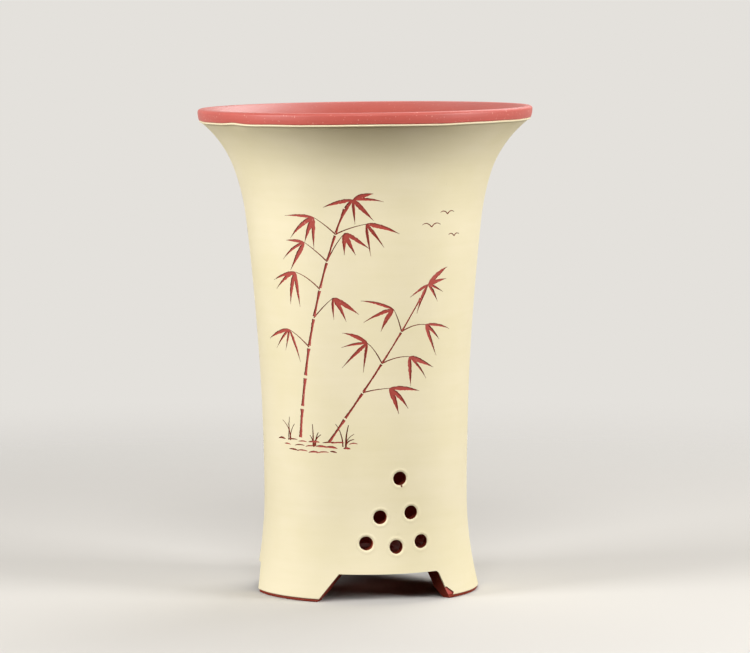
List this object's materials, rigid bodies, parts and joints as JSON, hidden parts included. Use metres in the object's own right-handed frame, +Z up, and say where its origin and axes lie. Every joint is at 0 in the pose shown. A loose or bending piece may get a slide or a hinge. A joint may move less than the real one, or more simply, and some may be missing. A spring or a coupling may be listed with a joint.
{
  "type": "planter pot",
  "caption": "Tall trumpet-shaped stoneware orchid pot with a flared mouth, slip-coated outside, air holes and notched feet.",
  "frame": {"origin": "on the pot's axis, in the plane of the soles", "axes": "+Z up along the pot's axis, -Y towards the middle of the front notch, +X to the right of it"},
  "size_m": [0.1654, 0.1654, 0.24],
  "materials": {
    "red_stoneware_wall": "smooth unglazed red stoneware, slightly sheeny",
    "pale_slip": "matt cream slip with a fine grain",
    "red_stoneware_lip": "burnished unglazed red stoneware",
    "red_stoneware_floor": "scraped unglazed red stoneware",
    "red_stoneware_foot": "cut and wiped unglazed red stoneware"
  },
  "bodies": {
    "root": {"body_wall": "red_stoneware_wall", "slip_coat": "pale_slip", "lip_band": "red_stoneware_lip", "floor_slab": "red_stoneware_floor", "seam_coil": "red_stoneware_floor", "foot_front_left": "red_stoneware_foot", "foot_front_right": "red_stoneware_foot", "foot_back": "red_stoneware_foot"}
  },
  "joints": []
}
